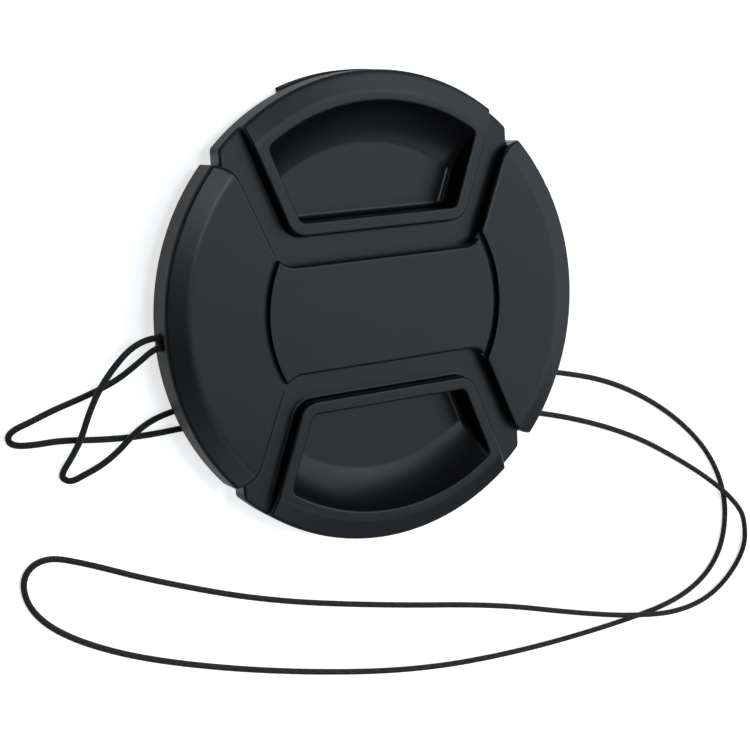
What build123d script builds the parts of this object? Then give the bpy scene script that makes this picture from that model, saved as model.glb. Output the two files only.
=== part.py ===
from build123d import *
import math
import os

# Centre-pinch lens cap for a 58 mm filter thread, with a leash cord, in millimetres.
# The cap lies on its back: +Z is its axis towards the front, +Y is the upper clip's side,
# and the origin is under the middle of the cap, on the surface that it lies on.

# Rim and face
cap_radius = 30.0
bevel_width = 2.8
bevel_drop = 0.75
flange_thickness = 4.5
face_crown = 0.25
face_blend = 3.0
rim_round = 0.5
cut_edge_round = 0.4

# Ring behind the flange that centres the cap in the lens thread
flange_step = 1.8
guide_wall = 1.2
guide_height = 1.4

# Cut-outs in the face, in which the finger cups slide
panel_half_height = 6.85
shoulder_width = 8.8
cut_inset = 1.2
cut_slope = 22.9
cut_corner = 3.0
rim_end_angle = 42.0
rim_end_round = 4.0

# Grooves beside the centre panel
panel_radius = 17.0
groove_width = 1.0
groove_depth = 0.8

# Sliding clips
clip_travel = 3.0
clip_rest_out = 0.3
clip_thickness = 2.7
clip_corner = 0.8
slide_clearance = 0.1
channel_clearance = 0.3
pinch_gap = 0.2
tongue_overlap = 1.8

# Finger cups on the clips
side_trench = 3.1
cup_slope = 21.3
cup_wall = 1.75
cup_corner = 2.8
cup_foot_round = 0.35
cup_edge_round = 0.35
pocket_lip = 1.0
pocket_floor_thickness = 0.65
pocket_edge_round = 0.3
pocket_round = 0.8
scoop_run = 5.2
scoop_hollow = 0.5

# Thread teeth on the clips
tooth_reach = 2.7
tooth_half_angle = 20.0
tooth_wall = 1.8
tooth_inset = 0.5
tooth_height = 0.7
tooth_pitch = 0.75
tooth_count = 3
tooth_tip_width = 0.15
tooth_lead = 0.3

# Springs between the clips
spring_radius = 1.5
spring_wire = 0.36
spring_turns = 8
spring_clearance = 0.25
spring_end_gap = 0.05
spring_seat = 9.0
seat_depth = 1.6
peg_clearance = 0.3
peg_length = 2.0

# Back plate, its stakes and its stop lugs
back_plate_thickness = 1.2
back_plate_gap = 1.0
back_plate_chamfer = 0.3
stake_inset = 2.2
stake_y = 6.0
stake_radius = 1.0
stake_clearance = 0.1
stake_head_lip = 0.7
stake_head_height = 0.6
stake_head_round = 0.4
lug_inset = 2.0
lug_y = 13.0
lug_width = 2.6
lug_length = 1.4
lug_height = 0.6
lug_clearance = 0.25
stop_gap = 0.05

# Cord, its hole and its knot
cord_diameter = 0.8
cord_floor_gap = 0.02
crossing_gap = 0.4
strand_gap = 0.1
hole_clearance = 0.2
hole_y = -0.65
hole_mouth_round = 0.25
hole_length = 2.4
knot_length = 2.7
knot_grip = 0.4
knot_round = 0.4
chamber_clearance = 0.35
bend_share = 0.45

# Heights, worked out from the sizes above
flange_rear = tooth_reach
face_z = flange_rear + flange_thickness
above_face = face_z + 2 * face_crown + bevel_drop
plate_bottom = flange_rear + slide_clearance
plate_top = plate_bottom + clip_thickness
channel_top = plate_top
pocket_floor = plate_bottom + pocket_floor_thickness
spring_z = flange_rear + spring_clearance + spring_radius
groove_top = spring_z + spring_radius + spring_clearance
back_plate_rear = flange_rear - back_plate_thickness
hole_z = flange_rear + (flange_thickness - bevel_drop) / 2
floor_z = cord_diameter / 2 + cord_floor_gap
crossing_z = floor_z + cord_diameter + crossing_gap

# Radii, worked out from the sizes above
face_radius = cap_radius - bevel_width
guide_radius = cap_radius - flange_step
pocket_radius = face_radius - pocket_lip
pocket_floor_radius = pocket_radius - scoop_run
tooth_root_radius = cap_radius - tooth_inset
tooth_inner_radius = tooth_root_radius - tooth_wall
back_plate_radius = guide_radius - guide_wall - back_plate_gap
stake_head_radius = stake_radius + stake_head_lip
peg_radius = spring_radius - spring_wire - peg_clearance
beyond_rim = 2 * cap_radius
fuzz = 0.01

# Plan sizes, worked out from the sizes above
cut_tan = math.tan(math.radians(cut_slope))
cut_cos = math.cos(math.radians(cut_slope))
cup_tan = math.tan(math.radians(cup_slope))
cup_cos = math.cos(math.radians(cup_slope))
rim_end = cap_radius * math.sin(math.radians(rim_end_angle))
channel_half_width = cap_radius - shoulder_width
clip_half_width = channel_half_width - channel_clearance
cut_half_end = channel_half_width - cut_inset
cut_half_width = cut_half_end - (rim_end - panel_half_height) * cut_tan
inner_trench = clip_travel + pinch_gap + cup_foot_round
cup_start = panel_half_height + inner_trench
cup_half_width = cut_half_width + inner_trench * cut_tan - side_trench / cut_cos
pocket_start = cup_start + cup_wall
pocket_half_width = cup_half_width + cup_wall * cup_tan - cup_wall / cup_cos
pocket_corner = cup_corner - cup_wall
spring_bay = 2 * (spring_radius + spring_clearance)
tongue_half_width = clip_half_width - spring_bay
spring_x = tongue_half_width + spring_bay / 2
tongue_end = panel_half_height - tongue_overlap
tooth_end_y = tooth_inner_radius * math.cos(math.radians(tooth_half_angle)) + clip_rest_out
back_plate_half_height = tooth_end_y - clip_travel - back_plate_gap
lug_x = clip_half_width - lug_inset
stake_x = channel_half_width + stake_inset
strand_spacing = cord_diameter + strand_gap
hole_radius = (strand_spacing + cord_diameter) / 2 + hole_clearance
knot_radius = hole_radius + knot_grip
chamber_end = cap_radius - hole_length
chamber_length = knot_length + chamber_clearance
chamber_half_width = knot_radius + chamber_clearance


def slanted_outline(half_width, start, end):
    """Points of a shape that widens from start to end along Y at the cups' side slope."""
    wide = half_width + (end - start) * cup_tan
    return [(-half_width, start), (half_width, start), (wide, end), (-wide, end)]


def cap_envelope(bottom, axis_y):
    """Solid of revolution with the cap's crowned face, bevel and rim, from bottom upwards."""
    with BuildPart() as envelope:
        with BuildSketch(Plane.XZ.offset(-axis_y)) as section:
            with BuildLine():
                crown = TangentArc((0, face_z + face_crown), (face_radius, face_z), tangent=(1, 0))
                rim_front = (cap_radius, face_z - bevel_drop)
                Polyline(crown @ 1, rim_front, (cap_radius, bottom), (0, bottom), crown @ 0)
            make_face()
            face_corner = section.vertices().sort_by_distance((face_radius, face_z))[0]
            fillet(face_corner, face_blend)
            rim_corner = section.vertices().sort_by_distance(rim_front)[0]
            fillet(rim_corner, rim_round)
        revolve(axis=Axis((0, axis_y, 0), (0, 0, 1)))
    return envelope.part


def crosses_front(edge, axis_y):
    """True for an edge on the cap's front that doesn't run round the cap's axis."""
    if edge.bounding_box().min.Z < face_z - bevel_drop - rim_round:
        return False
    reaches = [math.hypot(point.X, point.Y - axis_y) for point in (edge @ 0, edge @ 0.5, edge @ 1)]
    return max(reaches) - min(reaches) > fuzz


# Body: rim, face sectors and centre panel in one moulding
with BuildPart() as body:
    add(cap_envelope(flange_rear, 0))
    with BuildSketch(Plane.XY.offset(flange_rear)) as cut_outs:
        with BuildLine():
            right = Polyline(
                (0, panel_half_height),
                (cut_half_width, panel_half_height),
                (cut_half_end, rim_end),
                (beyond_rim, rim_end),
                (beyond_rim, beyond_rim),
                (0, beyond_rim),
            )
            mirror(right, about=Plane.YZ)
        make_face()
        inner_corners = cut_outs.vertices().group_by(Axis.Y)[0]
        fillet(inner_corners, cut_corner)
        rim_corners = cut_outs.vertices().filter_by_position(Axis.Y, rim_end, rim_end)
        fillet(rim_corners.filter_by(lambda v: abs(v.X) < cap_radius), rim_end_round)
        mirror(about=Plane.XZ)
    extrude(amount=above_face, mode=Mode.SUBTRACT)

    # Softened edges of the face round the cut-outs
    front_edges = [edge for edge in body.edges() if crosses_front(edge, 0)]
    cut_edges = [edge for edge in front_edges if abs(edge.center().Y) > panel_half_height - cut_edge_round]
    fillet(cut_edges, cut_edge_round)

    # Channel in which the clips slide, with grooves for the springs
    with BuildSketch(Plane.XY.offset(flange_rear)):
        Rectangle(2 * channel_half_width, 2 * beyond_rim)
    extrude(amount=channel_top - flange_rear, mode=Mode.SUBTRACT)
    groove_half_length = spring_seat + seat_depth + channel_clearance
    with BuildSketch(Plane.XY.offset(flange_rear)):
        with GridLocations(2 * spring_x, 0, 2, 1):
            Rectangle(spring_bay + 2 * channel_clearance, 2 * groove_half_length)
    extrude(amount=groove_top - flange_rear, mode=Mode.SUBTRACT)

    # Arc grooves beside the centre panel
    panel_z = face_z + face_crown * (1 - (panel_radius / face_radius) ** 2)
    with BuildSketch(Plane.XZ):
        with Locations((panel_radius, panel_z)):
            Rectangle(groove_width, 2 * groove_depth)
    revolve(axis=Axis.Z, mode=Mode.SUBTRACT)

    # Guide ring behind the flange, left and right of the clips
    with BuildSketch(Plane.XY.offset(flange_rear)):
        Circle(guide_radius)
        Circle(guide_radius - guide_wall, mode=Mode.SUBTRACT)
        Rectangle(2 * cap_radius, 2 * rim_end - 2 * rim_end_round, mode=Mode.INTERSECT)
        Rectangle(2 * channel_half_width, 2 * cap_radius, mode=Mode.SUBTRACT)
    extrude(amount=-guide_height)

    # Stakes that hold the back plate
    with BuildSketch(Plane.XY.offset(flange_rear)):
        with GridLocations(2 * stake_x, 2 * stake_y, 2, 2):
            Circle(stake_radius)
    extrude(amount=-back_plate_thickness)
    with BuildSketch(Plane.XY.offset(back_plate_rear)):
        with GridLocations(2 * stake_x, 2 * stake_y, 2, 2):
            Circle(stake_head_radius)
    extrude(amount=-stake_head_height)
    fillet(body.edges().group_by(Axis.Z)[0], stake_head_round)

    # Cord hole through the rim and the chamber that holds its knot
    with BuildSketch(Plane.XY.offset(flange_rear)):
        with Locations((chamber_length / 2 - chamber_end, hole_y)):
            Rectangle(chamber_length, 2 * chamber_half_width)
    extrude(amount=hole_z + chamber_half_width - flange_rear, mode=Mode.SUBTRACT)
    with BuildSketch(Plane.YZ.offset(-beyond_rim)):
        with Locations((hole_y, hole_z)):
            Circle(hole_radius)
    extrude(amount=beyond_rim - chamber_end, mode=Mode.SUBTRACT)
    mouth = body.edges(Select.LAST).sort_by(Axis.X)[0]
    fillet(mouth, hole_mouth_round)

body.part.label = "body"


def finger_pocket():
    """Space of the upper clip's finger pocket: a straight trapezoid with a hollow scoop at the rim."""
    with BuildPart() as pocket:
        with BuildSketch(Plane.XZ.offset(-clip_rest_out)):
            with BuildLine():
                floor_end = (pocket_floor_radius, pocket_floor)
                scoop = SagittaArc(floor_end, (pocket_radius, face_z), -scoop_hollow)
                way_out = (scoop % 1) * ((above_face - face_z) / (scoop % 1).Y)
                Polyline(scoop @ 1, scoop @ 1 + way_out, (0, above_face), (0, pocket_floor), floor_end)
            make_face()
        revolve(axis=Axis((0, clip_rest_out, 0), (0, 0, 1)))
        with BuildSketch(Plane.XY.offset(pocket_floor)) as outline:
            with BuildLine():
                Polyline(*slanted_outline(pocket_half_width, pocket_start, beyond_rim), close=True)
            make_face()
            fillet(outline.vertices().group_by(Axis.Y)[0], pocket_corner)
        extrude(amount=above_face - pocket_floor, mode=Mode.INTERSECT)
        tip_edges = pocket.edges().filter_by(lambda e: e.geom_type not in (GeomType.LINE, GeomType.CIRCLE))
        floor_edges = pocket.edges().group_by(Axis.Z)[0]
        fillet(tip_edges + floor_edges, pocket_round)
    return pocket.part


def is_cup_foot(edge):
    """True for an edge of the finger cup's outline where its wall meets the sliding plate."""
    middle = edge @ 0.5
    on_plate = abs(middle.Z - plate_top) < fuzz and edge.bounding_box().size.Z < fuzz
    cup_edge = cup_half_width + (middle.Y - cup_start) * cup_tan
    in_plan = cup_start - fuzz < middle.Y < pocket_floor_radius and abs(middle.X) < cup_edge + fuzz
    return on_plate and in_plan


# Upper clip: sliding plate, finger cup, rim arc and thread teeth in one moulding
with BuildPart() as upper_clip:
    with BuildSketch(Plane.XY.offset(plate_bottom)) as plate_outline:
        with BuildLine():
            right = Polyline(
                (0, tongue_end),
                (tongue_half_width, tongue_end),
                (tongue_half_width, spring_seat),
                (clip_half_width, spring_seat),
                (clip_half_width, beyond_rim),
                (0, beyond_rim),
            )
            mirror(right, about=Plane.YZ)
        make_face()
        with Locations((0, clip_rest_out)):
            Circle(cap_radius, mode=Mode.INTERSECT)
        rim_tips = plate_outline.vertices().filter_by(lambda v: v.Y > rim_end)
        fillet(rim_tips, clip_corner)
    extrude(amount=plate_top - plate_bottom)

    # Finger cup, trimmed to the cap's front
    with BuildSketch(Plane.XY.offset(plate_bottom)) as cup_outline:
        with BuildLine():
            Polyline(*slanted_outline(cup_half_width, cup_start, beyond_rim), close=True)
        make_face()
        fillet(cup_outline.vertices().group_by(Axis.Y)[0], cup_corner)
    extrude(amount=above_face - plate_bottom)
    add(cap_envelope(plate_bottom, clip_rest_out), mode=Mode.INTERSECT)
    foot_edges = [edge for edge in upper_clip.edges() if is_cup_foot(edge)]
    fillet(foot_edges, cup_foot_round)
    fillet([edge for edge in upper_clip.edges() if crosses_front(edge, clip_rest_out)], cup_edge_round)
    add(finger_pocket(), mode=Mode.SUBTRACT)
    opening_edges = upper_clip.edges(Select.LAST)
    opening_edges = opening_edges.filter_by(lambda e: e.bounding_box().min.Z > face_z - bevel_drop)
    fillet(opening_edges, pocket_edge_round)

    # Thread teeth behind the rim arc
    start = math.radians(90 - tooth_half_angle)
    radial = (math.cos(start), math.sin(start), 0)
    across = (math.sin(start), -math.cos(start), 0)
    tooth_plane = Plane(origin=(0, clip_rest_out, 0), x_dir=radial, z_dir=across)
    tooth_profile = [
        (tooth_root_radius, plate_bottom),
        (tooth_inner_radius, plate_bottom),
        (tooth_inner_radius, 0),
        (tooth_root_radius - tooth_lead, 0),
    ]
    for tooth in range(tooth_count):
        foot = tooth_lead / 2 + tooth * tooth_pitch
        middle = foot + tooth_pitch / 2
        tip_radius = tooth_root_radius + tooth_height
        tooth_profile.append((tooth_root_radius, foot))
        tooth_profile.append((tip_radius, middle - tooth_tip_width / 2))
        tooth_profile.append((tip_radius, middle + tooth_tip_width / 2))
    tooth_profile.append((tooth_root_radius, tooth_lead / 2 + tooth_count * tooth_pitch))
    with BuildSketch(tooth_plane):
        with BuildLine():
            Polyline(*tooth_profile, close=True)
        make_face()
    revolve(axis=Axis((0, clip_rest_out, 0), (0, 0, 1)), revolution_arc=2 * tooth_half_angle)

    # Spring seats with pegs
    with BuildSketch(Plane.XZ.offset(-spring_seat)):
        with Locations((-spring_x, 0), (spring_x, 0)):
            with Locations((0, (plate_bottom + groove_top - spring_clearance) / 2)):
                Rectangle(spring_bay, groove_top - spring_clearance - plate_bottom)
    extrude(amount=-seat_depth)
    with BuildSketch(Plane.XZ.offset(-spring_seat)):
        with Locations((-spring_x, spring_z), (spring_x, spring_z)):
            Circle(peg_radius)
    extrude(amount=peg_length)

    # Pockets under the plate for the back plate's stop lugs
    stop_inner = lug_y - lug_length / 2 - stop_gap
    stop_outer = lug_y + lug_length / 2 + clip_travel + lug_clearance
    with BuildSketch(Plane.XY.offset(plate_bottom)):
        with Locations((-lug_x, (stop_inner + stop_outer) / 2), (lug_x, (stop_inner + stop_outer) / 2)):
            Rectangle(lug_width + 2 * lug_clearance, stop_outer - stop_inner)
    extrude(amount=lug_height - slide_clearance + lug_clearance, mode=Mode.SUBTRACT)

upper_clip.part.label = "upper_clip"

# Lower clip: the same moulding on the other side
with BuildPart() as lower_clip:
    mirror(upper_clip.part, about=Plane.XZ)

lower_clip.part.label = "lower_clip"

# Back plate that closes the channel behind the clips
with BuildPart() as back_plate:
    with BuildSketch(Plane.XY.offset(back_plate_rear)):
        Circle(back_plate_radius)
        Rectangle(2 * back_plate_radius, 2 * back_plate_half_height, mode=Mode.INTERSECT)
        with GridLocations(2 * stake_x, 2 * stake_y, 2, 2):
            Circle(stake_radius + stake_clearance, mode=Mode.SUBTRACT)
    extrude(amount=back_plate_thickness)
    rear_face = back_plate.faces().sort_by(Axis.Z)[0]
    chamfer(rear_face.outer_wire().edges(), back_plate_chamfer)
    with BuildSketch(Plane.XY.offset(flange_rear)):
        with GridLocations(2 * lug_x, 2 * lug_y, 2, 2):
            Rectangle(lug_width, lug_length)
    extrude(amount=lug_height)

back_plate.part.label = "back_plate"


def coil_spring(axis_x):
    """Coil spring along Y between the two clips' seats."""
    half_length = spring_seat - spring_wire / 2 - spring_end_gap
    coil_radius = spring_radius - spring_wire / 2
    with BuildPart() as spring:
        with BuildLine() as coil:
            Helix(
                pitch=2 * half_length / spring_turns,
                height=2 * half_length,
                radius=coil_radius,
                center=(axis_x, -half_length, spring_z),
                direction=(0, 1, 0),
            )
        with BuildSketch(Plane(origin=coil.line @ 0, z_dir=coil.line % 0)):
            Circle(spring_wire / 2)
        sweep(path=coil.line, is_frenet=True)
    return spring.part


left_spring = coil_spring(-spring_x)
left_spring.label = "left_spring"
right_spring = coil_spring(spring_x)
right_spring.label = "right_spring"

# Knot in the chamber behind the cord hole
with BuildPart() as cord_knot:
    with BuildSketch(Plane.YZ.offset(-chamber_end)):
        with Locations((hole_y, hole_z)):
            Circle(knot_radius)
    extrude(amount=knot_length)
    fillet(cord_knot.edges().filter_by(GeomType.CIRCLE), knot_round)

cord_knot.part.label = "cord_knot"

# Route of the cord: out of the hole, one loop at the left, behind the cap, the long loop in front,
# behind the cap again, the other loop at the left and back into the hole
rim_x = -cap_radius
strand_a = hole_y + strand_spacing / 2
strand_b = hole_y - strand_spacing / 2
cord_route = [
    (-chamber_end, strand_a, hole_z),
    (rim_x + 0.6, strand_a, hole_z),
    (rim_x - 1.3, hole_y + 0.7, hole_z),
    (rim_x - 3.6, hole_y - 0.25, hole_z - 0.6),
    (rim_x - 5.6, hole_y - 2.55, hole_z - 1.7),
    (rim_x - 7.4, hole_y - 5.15, hole_z - 2.5),
    (rim_x - 8.8, hole_y - 7.95, hole_z - 2.9),
    (-40.0, -11.5, crossing_z),
    (-41.3, -13.8, 1.0),
    (-42.3, -15.4, floor_z),
    (-42.5, -16.6, floor_z),
    (-41.4, -17.2, floor_z),
    (-39.6, -16.3, floor_z),
    (-37.5, -15.3, 0.9),
    (-35.4, -13.7, crossing_z),
    (-33.3, -11.9, crossing_z),
    (-30.6, -10.8, 0.7),
    (-27.4, -10.1, floor_z),
    (-21.8, -9.3, floor_z),
    (-10.9, -8.7, floor_z),
    (3.6, -9.4, floor_z),
    (17.7, -10.9, floor_z),
    (31.5, -13.5, floor_z),
    (42.3, -16.7, floor_z),
    (52.9, -23.1, floor_z),
    (60.5, -30.9, floor_z),
    (63.5, -39.4, floor_z),
    (61.6, -47.8, floor_z),
    (54.3, -52.6, floor_z),
    (41.3, -53.8, floor_z),
    (22.7, -54.0, floor_z),
    (5.0, -52.5, floor_z),
    (-14.9, -47.8, floor_z),
    (-32.5, -42.0, floor_z),
    (-42.7, -36.9, floor_z),
    (-47.9, -32.2, floor_z),
    (-48.8, -27.4, floor_z),
    (-45.7, -25.3, floor_z),
    (-40.6, -27.2, floor_z),
    (-31.9, -31.4, floor_z),
    (-16.7, -37.4, floor_z),
    (1.1, -42.0, floor_z),
    (19.3, -45.9, floor_z),
    (33.5, -50.4, 0.6),
    (43.3, -52.8, crossing_z),
    (52.6, -54.2, crossing_z),
    (61.1, -53.0, 0.6),
    (67.0, -47.6, floor_z),
    (66.6, -42.3, 0.9),
    (64.5, -39.4, crossing_z),
    (61.0, -35.9, crossing_z),
    (55.1, -31.2, 0.6),
    (44.3, -24.6, floor_z),
    (29.9, -19.3, floor_z),
    (14.6, -16.2, floor_z),
    (-0.5, -14.2, floor_z),
    (-14.4, -13.1, floor_z),
    (-24.3, -12.4, floor_z),
    (-31.6, -12.7, floor_z),
    (-37.5, -12.2, floor_z),
    (-41.9, -11.5, floor_z),
    (-45.5, -11.7, floor_z),
    (-47.8, -11.6, floor_z),
    (-49.0, -11.1, floor_z),
    (-49.2, -9.9, floor_z),
    (-48.0, -9.1, floor_z),
    (-45.9, -8.7, floor_z),
    (-42.8, -7.7, floor_z),
    (-39.7, -6.9, floor_z),
    (rim_x - 6.9, hole_y - 5.45, floor_z),
    (rim_x - 4.5, hole_y - 4.25, hole_z - 3.2),
    (rim_x - 2.4, hole_y - 2.35, hole_z - 1.6),
    (rim_x - 0.9, hole_y - 0.75, hole_z - 0.2),
    (rim_x + 1.0, strand_b, hole_z),
    (-chamber_end, strand_b, hole_z),
]


def bend_radii(route):
    """Largest arc that the runs on both sides of each inner point leave room for."""
    points = [Vector(*point) for point in route]
    radii = []
    for before, here, after in zip(points, points[1:], points[2:]):
        run_in = here - before
        run_out = after - here
        half_turn = math.radians(run_in.get_angle(run_out)) / 2
        shorter = min(run_in.length, run_out.length)
        radii.append(bend_share * shorter / math.tan(half_turn))
    return radii


cord_radii = bend_radii(cord_route)

# Leash cord
with BuildPart() as cord:
    with BuildLine() as cord_path:
        FilletPolyline(*cord_route, radius=cord_radii)
    with BuildSketch(Plane(origin=cord_path.line @ 0, z_dir=cord_path.line % 0)):
        Circle(cord_diameter / 2)
    sweep(path=cord_path.line)

cord.part.label = "cord"

cord_length = sum(edge.length for edge in cord_path.edges())
cord_section = math.pi * cord_diameter**2 / 4
print("cord length", round(cord_length, 1), "tightest bend", round(min(cord_radii), 2))
print("cord radii", [round(radius, 1) for radius in cord_radii])
print("cord volume over section times length", round(cord.part.volume / (cord_section * cord_length), 4))

os.makedirs("parts", exist_ok=True)
export_step(body.part, "parts/body.step")
export_step(upper_clip.part, "parts/upper_clip.step")
export_step(lower_clip.part, "parts/lower_clip.step")
export_step(back_plate.part, "parts/back_plate.step")
export_step(left_spring, "parts/left_spring.step")
export_step(right_spring, "parts/right_spring.step")
export_step(cord_knot.part, "parts/cord_knot.step")
export_step(cord.part, "parts/cord.step")
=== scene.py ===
import math

import bmesh
import bpy
from mathutils import Matrix, Vector


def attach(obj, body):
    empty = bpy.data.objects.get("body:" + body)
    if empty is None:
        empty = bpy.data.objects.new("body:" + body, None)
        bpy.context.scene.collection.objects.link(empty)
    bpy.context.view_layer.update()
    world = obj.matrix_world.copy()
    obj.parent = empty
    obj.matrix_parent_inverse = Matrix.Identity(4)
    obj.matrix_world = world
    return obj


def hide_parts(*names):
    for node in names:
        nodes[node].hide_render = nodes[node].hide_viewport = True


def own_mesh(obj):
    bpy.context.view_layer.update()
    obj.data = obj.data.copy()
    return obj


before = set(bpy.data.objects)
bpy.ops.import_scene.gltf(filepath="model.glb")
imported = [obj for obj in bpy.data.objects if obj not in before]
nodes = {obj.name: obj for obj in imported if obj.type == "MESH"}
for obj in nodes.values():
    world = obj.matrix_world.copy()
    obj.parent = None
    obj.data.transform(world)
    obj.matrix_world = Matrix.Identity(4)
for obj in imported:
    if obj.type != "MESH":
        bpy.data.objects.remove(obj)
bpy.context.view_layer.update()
scene = bpy.context.scene
MM = 0.001
WHITE = (1.0, 1.0, 1.0, 1.0)

# Camera at the photograph's viewing angle
CAMERA_PLACE = Vector((-95.92, 27.98, 175.19)) * MM
CAMERA_TARGET = Vector((1.84, -9.83, 0.0)) * MM
CAMERA_ROLL = math.radians(-3.355)
CAMERA_LENS = 73.03
SENSOR_WIDTH = 36.0
NEAREST_SEEN = 10 * MM

# Sizes that the pieces share with the CAD model, in millimetres
CAP_RADIUS = 30.0
HOLE_Y = -0.65
HOLE_Z = 4.575
HOLE_LENGTH = 2.4
CORD_DIAMETER = 0.8
CORD_LENGTH = 549.0
CORD_FLOOR_GAP = 0.02
CROSSING_GAP = 0.4
STRAND_GAP = 0.1
SPRING_X = 19.15
SPRING_Z = 4.45
SPRING_COIL = 1.32
SPRING_WIRE = 0.18
SPRING_HALF = 8.77
HALF_TURNS = 4

# Places along the cord, worked out from the sizes above
RIM_X = -CAP_RADIUS
CHAMBER_END = CAP_RADIUS - HOLE_LENGTH
STRAND_A = HOLE_Y + (CORD_DIAMETER + STRAND_GAP) / 2
STRAND_B = HOLE_Y - (CORD_DIAMETER + STRAND_GAP) / 2
FLOOR_Z = CORD_DIAMETER / 2 + CORD_FLOOR_GAP
CROSSING_Z = FLOOR_Z + CORD_DIAMETER + CROSSING_GAP

# Route of the cord, from the hole round its loop and back
CORD_ROUTE = [
    (-CHAMBER_END, STRAND_A, HOLE_Z),
    (RIM_X + 0.6, STRAND_A, HOLE_Z),
    (RIM_X - 1.3, HOLE_Y + 0.7, HOLE_Z),
    (RIM_X - 3.6, HOLE_Y - 0.25, HOLE_Z - 0.6),
    (RIM_X - 5.6, HOLE_Y - 2.55, HOLE_Z - 1.7),
    (RIM_X - 7.4, HOLE_Y - 5.15, HOLE_Z - 2.5),
    (RIM_X - 8.8, HOLE_Y - 7.95, HOLE_Z - 2.9),
    (-40.0, -11.5, CROSSING_Z),
    (-41.3, -13.8, 1.0),
    (-42.3, -15.4, FLOOR_Z),
    (-42.4, -16.2, FLOOR_Z),
    (-41.3, -16.8, FLOOR_Z),
    (-39.6, -16.2, FLOOR_Z),
    (-37.5, -15.3, 0.9),
    (-35.4, -13.7, CROSSING_Z),
    (-33.3, -11.9, CROSSING_Z),
    (-30.6, -10.8, 0.7),
    (-27.4, -10.1, FLOOR_Z),
    (-21.8, -9.3, FLOOR_Z),
    (-10.9, -8.7, FLOOR_Z),
    (3.6, -9.4, FLOOR_Z),
    (17.7, -10.9, FLOOR_Z),
    (31.5, -13.5, FLOOR_Z),
    (42.3, -16.7, FLOOR_Z),
    (52.9, -23.1, FLOOR_Z),
    (60.5, -30.9, FLOOR_Z),
    (63.5, -39.4, FLOOR_Z),
    (61.6, -47.8, FLOOR_Z),
    (54.3, -52.6, FLOOR_Z),
    (41.3, -53.8, FLOOR_Z),
    (22.7, -54.0, FLOOR_Z),
    (5.0, -52.5, FLOOR_Z),
    (-14.9, -47.8, FLOOR_Z),
    (-32.5, -42.0, FLOOR_Z),
    (-42.7, -36.9, FLOOR_Z),
    (-47.9, -32.2, FLOOR_Z),
    (-48.8, -27.4, FLOOR_Z),
    (-45.7, -25.3, FLOOR_Z),
    (-40.6, -27.2, FLOOR_Z),
    (-31.9, -31.4, FLOOR_Z),
    (-16.7, -37.4, FLOOR_Z),
    (1.1, -42.0, FLOOR_Z),
    (19.3, -45.9, FLOOR_Z),
    (33.5, -50.4, 0.6),
    (43.3, -52.8, CROSSING_Z),
    (52.6, -54.2, CROSSING_Z),
    (61.1, -53.0, 0.6),
    (67.0, -47.6, FLOOR_Z),
    (66.6, -42.3, 0.9),
    (64.5, -39.4, CROSSING_Z),
    (61.0, -35.9, CROSSING_Z),
    (55.1, -31.2, 0.6),
    (44.3, -24.6, FLOOR_Z),
    (29.9, -19.3, FLOOR_Z),
    (14.6, -16.2, FLOOR_Z),
    (-0.5, -14.2, FLOOR_Z),
    (-14.4, -13.1, FLOOR_Z),
    (-24.3, -12.4, FLOOR_Z),
    (-31.6, -12.7, FLOOR_Z),
    (-37.5, -12.2, FLOOR_Z),
    (-41.9, -11.5, FLOOR_Z),
    (-45.5, -11.5, FLOOR_Z),
    (-47.4, -11.3, FLOOR_Z),
    (-48.4, -10.8, FLOOR_Z),
    (-48.5, -9.9, FLOOR_Z),
    (-47.5, -9.2, FLOOR_Z),
    (-45.7, -8.7, FLOOR_Z),
    (-42.8, -7.7, FLOOR_Z),
    (-39.7, -6.9, FLOOR_Z),
    (RIM_X - 6.9, HOLE_Y - 5.45, FLOOR_Z),
    (RIM_X - 4.5, HOLE_Y - 4.25, HOLE_Z - 3.2),
    (RIM_X - 2.4, HOLE_Y - 2.35, HOLE_Z - 1.6),
    (RIM_X - 0.9, HOLE_Y - 0.75, HOLE_Z - 0.2),
    (RIM_X + 1.0, STRAND_B, HOLE_Z),
    (-CHAMBER_END, STRAND_B, HOLE_Z),
]

# Steps of the cord's curve, of its round section and of the spring wire
SPLINE_ORDER = 3
CORD_STEPS = 10
CORD_ROUND_STEPS = 3
STEPS_PER_TURN = 28
WIRE_SIDES = 8

# Each plastic's colour, roughness, and its grain's size and depth in millimetres
SHELL_PLASTIC = {"colour": (0.002, 0.002, 0.0025), "roughness": 0.33, "grain": 0.25, "depth": 0.004}
BACK_PLASTIC = {"colour": (0.006, 0.006, 0.006), "roughness": 0.45, "grain": 0.3, "depth": 0.008}

# Gloss, grain and mottling that the plastics share, with the mottling's scale per metre
PLASTIC_SPECULAR = 0.21
GRAIN_DETAIL = 2.0
GRAIN_STRENGTH = 0.35
MOTTLE_SCALE = 140.0
MOTTLE_DETAIL = 3.0
MOTTLE_SPREAD = 0.03

# Matt finish of the rim's wall, by its distance from the cap's middle, in millimetres
MATT_START = 29.6
MATT_FULL = 29.9
RIM_ROUGHNESS = 0.56
PLAN_AXES = (1.0, 1.0, 0.0)

# Nylon cord, with its twist in millimetres and the width of one band of the wave texture
CORD_COLOUR = (0.006, 0.005, 0.0042, 1.0)
CORD_ROUGHNESS = 0.65
CORD_SPECULAR = 0.25
CORD_STRANDS = 3
CORD_LAY = 2.4
TWIST_STRENGTH = 0.8
TWIST_DEPTH = 0.1
WAVE_PERIOD = math.pi / 5

# Drawn spring wire, with the scale of its streaks per metre
STEEL_COLOUR = (0.5, 0.49, 0.47, 1.0)
STEEL_SMOOTHEST = 0.25
STEEL_ROUGHEST = 0.4
STEEL_SCALE = 3000.0
STEEL_DETAIL = 2.0

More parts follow.
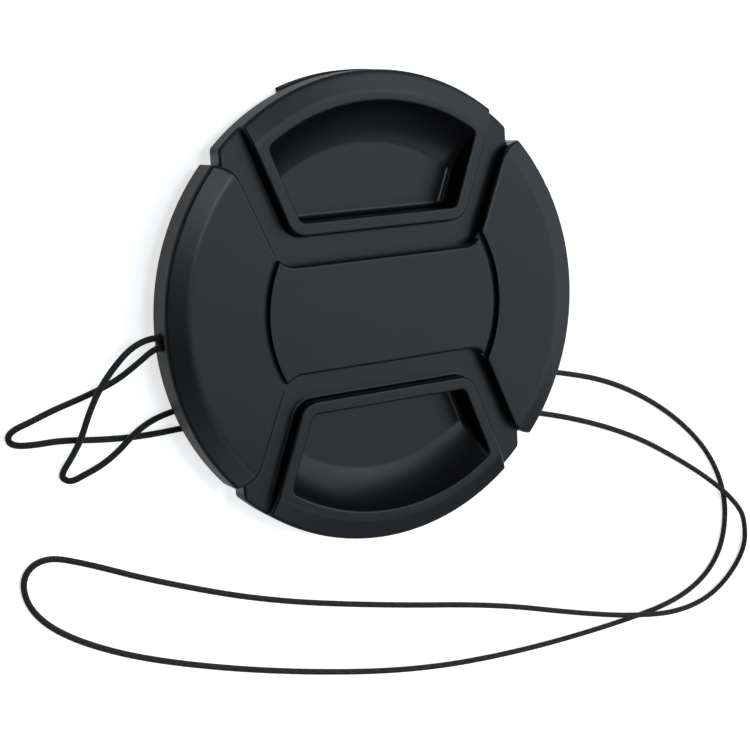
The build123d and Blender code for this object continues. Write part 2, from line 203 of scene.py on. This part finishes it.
# Studio floor, with its size in metres and its drop under the cap in millimetres
FLOOR_SIZE = 40.0
FLOOR_DROP = 0.02
FLOOR_COLOUR = (0.62, 0.62, 0.62, 1.0)
FLOOR_ROUGHNESS = 0.9
FLOOR_GLOW = 0.7

# Studio light, with a lamp's power for each unit of its area and radiance
ROOM_LIGHT = 0.12
LAMP_COLOUR = (0.88, 1.0, 1.1)
LAMP_POWER = 4


def add_camera():
    """Camera that looks at its target, with the photograph's roll."""
    data = bpy.data.cameras.new("camera")
    data.sensor_width = SENSOR_WIDTH
    data.lens = CAMERA_LENS
    data.clip_start = NEAREST_SEEN
    back = (CAMERA_PLACE - CAMERA_TARGET).normalized()
    level = Vector((0, 1, 0)).cross(back).normalized()
    upright = back.cross(level)
    right = level * math.cos(CAMERA_ROLL) + upright * math.sin(CAMERA_ROLL)
    up = back.cross(right)
    turn = Matrix((right, up, back)).transposed().to_4x4()
    camera = bpy.data.objects.new("camera", data)
    scene.collection.objects.link(camera)
    camera.matrix_world = Matrix.Translation(CAMERA_PLACE) @ turn
    scene.camera = camera


def new_material(name):
    """New node material, its node tree and its Principled shader."""
    material = bpy.data.materials.new(name)
    material.use_nodes = True
    tree = material.node_tree
    return material, tree, tree.nodes["Principled BSDF"]


def add_noise(tree, place, scale, detail):
    """Noise from 0 to 1, in the object's own coordinates."""
    noise = tree.nodes.new("ShaderNodeTexNoise")
    noise.inputs["Scale"].default_value = scale
    noise.inputs["Detail"].default_value = detail
    tree.links.new(place.outputs["Object"], noise.inputs["Vector"])
    return noise.outputs["Fac"]


def add_spread(tree, value, lowest, highest):
    """Value from 0 to 1, spread between two limits."""
    spread = tree.nodes.new("ShaderNodeMapRange")
    spread.inputs["To Min"].default_value = lowest
    spread.inputs["To Max"].default_value = highest
    tree.links.new(value, spread.inputs["Value"])
    return spread.outputs["Result"]


def add_bump(tree, shader, height, strength, depth):
    """Bump of that depth, in millimetres, on the shader."""
    bump = tree.nodes.new("ShaderNodeBump")
    bump.inputs["Strength"].default_value = strength
    bump.inputs["Distance"].default_value = depth * MM
    tree.links.new(height, bump.inputs["Height"])
    tree.links.new(bump.outputs["Normal"], shader.inputs["Normal"])


def add_matt_rim(tree, place, roughness):
    """That roughness on the faces, and the rim's own on the rim's wall."""
    plan = tree.nodes.new("ShaderNodeVectorMath")
    plan.operation = "MULTIPLY"
    plan.inputs[1].default_value = PLAN_AXES
    tree.links.new(place.outputs["Object"], plan.inputs[0])
    distance = tree.nodes.new("ShaderNodeVectorMath")
    distance.operation = "LENGTH"
    tree.links.new(plan.outputs["Vector"], distance.inputs[0])
    matt_rim = tree.nodes.new("ShaderNodeMapRange")
    matt_rim.inputs["From Min"].default_value = MATT_START * MM
    matt_rim.inputs["From Max"].default_value = MATT_FULL * MM
    matt_rim.inputs["To Max"].default_value = RIM_ROUGHNESS
    tree.links.new(distance.outputs["Value"], matt_rim.inputs["Value"])
    tree.links.new(roughness, matt_rim.inputs["To Min"])
    return matt_rim.outputs["Result"]


def plastic_material(name, colour, roughness, grain, depth):
    """Black moulded plastic with a fine grain, a slight mottling and a matt rim."""
    material, tree, shader = new_material(name)
    shader.inputs["Base Color"].default_value = (*colour, 1.0)
    shader.inputs["Specular IOR Level"].default_value = PLASTIC_SPECULAR
    place = tree.nodes.new("ShaderNodeTexCoord")
    mottle = add_noise(tree, place, MOTTLE_SCALE, MOTTLE_DETAIL)
    mottled = add_spread(tree, mottle, roughness - MOTTLE_SPREAD, roughness + MOTTLE_SPREAD)
    tree.links.new(add_matt_rim(tree, place, mottled), shader.inputs["Roughness"])
    height = add_noise(tree, place, 1 / (grain * MM), GRAIN_DETAIL)
    add_bump(tree, shader, height, GRAIN_STRENGTH, depth)
    return material


def cord_material():
    """Black nylon cord with a fine twist along it."""
    material, tree, shader = new_material("cord_nylon")
    shader.inputs["Base Color"].default_value = CORD_COLOUR
    shader.inputs["Roughness"].default_value = CORD_ROUGHNESS
    shader.inputs["Specular IOR Level"].default_value = CORD_SPECULAR
    place = tree.nodes.new("ShaderNodeTexCoord")
    twist = tree.nodes.new("ShaderNodeMapping")
    around = CORD_STRANDS * WAVE_PERIOD
    twist.inputs["Scale"].default_value = (around * CORD_LENGTH / CORD_LAY, around, 1.0)
    tree.links.new(place.outputs["UV"], twist.inputs["Vector"])
    wave = tree.nodes.new("ShaderNodeTexWave")
    wave.wave_type = "BANDS"
    wave.bands_direction = "DIAGONAL"
    wave.inputs["Scale"].default_value = 1.0
    tree.links.new(twist.outputs["Vector"], wave.inputs["Vector"])
    add_bump(tree, shader, wave.outputs["Fac"], TWIST_STRENGTH, TWIST_DEPTH)
    return material


def steel_material():
    """Drawn spring wire."""
    material, tree, shader = new_material("spring_steel")
    shader.inputs["Base Color"].default_value = STEEL_COLOUR
    shader.inputs["Metallic"].default_value = 1.0
    place = tree.nodes.new("ShaderNodeTexCoord")
    streaks = add_noise(tree, place, STEEL_SCALE, STEEL_DETAIL)
    roughness = add_spread(tree, streaks, STEEL_SMOOTHEST, STEEL_ROUGHEST)
    tree.links.new(roughness, shader.inputs["Roughness"])
    return material


def dress(node, material):
    """Gives a CAD node its material."""
    mesh = nodes[node].data
    mesh.materials.clear()
    mesh.materials.append(material)


def add_cord(material):
    """The leash cord, a smooth tube on the route's points."""
    data = bpy.data.curves.new("leash_cord", "CURVE")
    data.dimensions = "3D"
    spline = data.splines.new("NURBS")
    spline.points.add(len(CORD_ROUTE) - 1)
    for point, place in zip(spline.points, CORD_ROUTE):
        point.co = (*(Vector(place) * MM), 1.0)
    spline.order_u = SPLINE_ORDER
    spline.use_endpoint_u = True
    spline.resolution_u = CORD_STEPS
    data.bevel_depth = CORD_DIAMETER / 2 * MM
    data.bevel_resolution = CORD_ROUND_STEPS
    data.materials.append(material)
    cord = bpy.data.objects.new("leash_cord", data)
    scene.collection.objects.link(cord)
    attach(cord, "body")
    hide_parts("cord")


def half_spring_mesh(name, axis_x, side):
    """Coiled wire from the middle of the cap towards one clip."""
    steps = STEPS_PER_TURN * HALF_TURNS
    mesh = bmesh.new()
    rings = []
    for step in range(steps + 1):
        share = step / steps
        turn = 2 * math.pi * HALF_TURNS * share
        out = Vector((math.cos(turn), 0, math.sin(turn)))
        centre = Vector((axis_x, side * SPRING_HALF * share, SPRING_Z)) + out * SPRING_COIL
        ring = []
        for corner in range(WIRE_SIDES):
            angle = 2 * math.pi * corner / WIRE_SIDES
            offset = out * math.cos(angle) + Vector((0, 1, 0)) * math.sin(angle)
            ring.append(mesh.verts.new((centre + offset * SPRING_WIRE) * MM))
        rings.append(ring)
    for before, after in zip(rings, rings[1:]):
        for corner in range(WIRE_SIDES):
            following = (corner + 1) % WIRE_SIDES
            mesh.faces.new((before[corner], before[following], after[following], after[corner]))
    mesh.faces.new(rings[0])
    mesh.faces.new(rings[-1])
    bmesh.ops.recalc_face_normals(mesh, faces=mesh.faces)
    data = bpy.data.meshes.new(name)
    mesh.to_mesh(data)
    mesh.free()
    for face in data.polygons:
        face.use_smooth = True
    return data


def add_half_spring(name, axis_x, side, material):
    """Half of a coil spring, from the middle of the cap towards one clip, fixed to the body."""
    data = half_spring_mesh(name, axis_x, side)
    data.materials.append(material)
    spring = bpy.data.objects.new(name, data)
    scene.collection.objects.link(spring)
    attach(spring, "body")
    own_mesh(spring)
    return spring


def add_springs(material):
    """Both springs, in halves that stand for their CAD nodes."""
    for node, axis_x in (("left_spring", -SPRING_X), ("right_spring", SPRING_X)):
        upper = add_half_spring(node + "_upper", axis_x, 1, material)
        lower = add_half_spring(node + "_lower", axis_x, -1, material)
        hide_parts(node)
        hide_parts(node)


def add_floor():
    """Plain white studio floor."""
    material, tree, shader = new_material("studio_floor")
    shader.inputs["Base Color"].default_value = FLOOR_COLOUR
    shader.inputs["Roughness"].default_value = FLOOR_ROUGHNESS
    shader.inputs["Specular IOR Level"].default_value = 0.0
    shader.inputs["Emission Color"].default_value = WHITE
    shader.inputs["Emission Strength"].default_value = FLOOR_GLOW
    bpy.ops.mesh.primitive_plane_add(size=FLOOR_SIZE, location=(0, 0, -FLOOR_DROP * MM))
    floor = bpy.context.object
    floor.name = "studio_floor"
    floor.data.materials.append(material)


def add_softbox(name, place, size, radiance):
    """Rectangular soft light that faces the cap, with its place and size in metres."""
    width, height = size
    data = bpy.data.lights.new(name, "AREA")
    data.shape = "RECTANGLE"
    data.size = width
    data.size_y = height
    data.energy = LAMP_POWER * width * height * radiance
    data.color = LAMP_COLOUR
    light = bpy.data.objects.new(name, data)
    scene.collection.objects.link(light)
    light.location = place
    light.rotation_euler = (-Vector(place)).to_track_quat("-Z", "Y").to_euler()


def add_lights():
    """Soft light from the right and from above, weak low fills on two sides, and a dim room."""
    world = bpy.data.worlds.new("studio")
    scene.world = world
    world.use_nodes = True
    background = world.node_tree.nodes["Background"]
    background.inputs["Color"].default_value = WHITE
    background.inputs["Strength"].default_value = ROOM_LIGHT
    add_softbox("side_box", place=(0.72, 0.13, 0.53), size=(1.0, 0.55), radiance=2.0)
    add_softbox("head_lamp", place=(0.06, 0.19, 0.95), size=(0.2, 0.2), radiance=16.0)
    add_softbox("head_box", place=(0.45, 0.36, 0.8), size=(0.35, 0.25), radiance=4.2)
    add_softbox("top_box", place=(0.4, -0.05, 0.88), size=(0.45, 0.4), radiance=2.0)
    add_softbox("front_right_box", place=(0.47, -0.5, 0.68), size=(0.4, 0.35), radiance=1.2)
    add_softbox("front_left_box", place=(0.1, -0.5, 0.82), size=(0.3, 0.3), radiance=3.0)
    add_softbox("front_low_box", place=(0.65, -0.65, 0.28), size=(0.9, 0.35), radiance=0.25)
    add_softbox("back_low_box", place=(-0.65, 0.65, 0.28), size=(0.9, 0.35), radiance=0.8)


scene.view_settings.view_transform = "Standard"
add_camera()
nylon = cord_material()
add_cord(nylon)
add_springs(steel_material())
clip = plastic_material("clip_plastic", **SHELL_PLASTIC)
dress("body", plastic_material("shell_plastic", **SHELL_PLASTIC))
dress("upper_clip", clip)
dress("lower_clip", clip)
dress("back_plate", plastic_material("back_plastic", **BACK_PLASTIC))
dress("cord_knot", nylon)
add_floor()
add_lights()
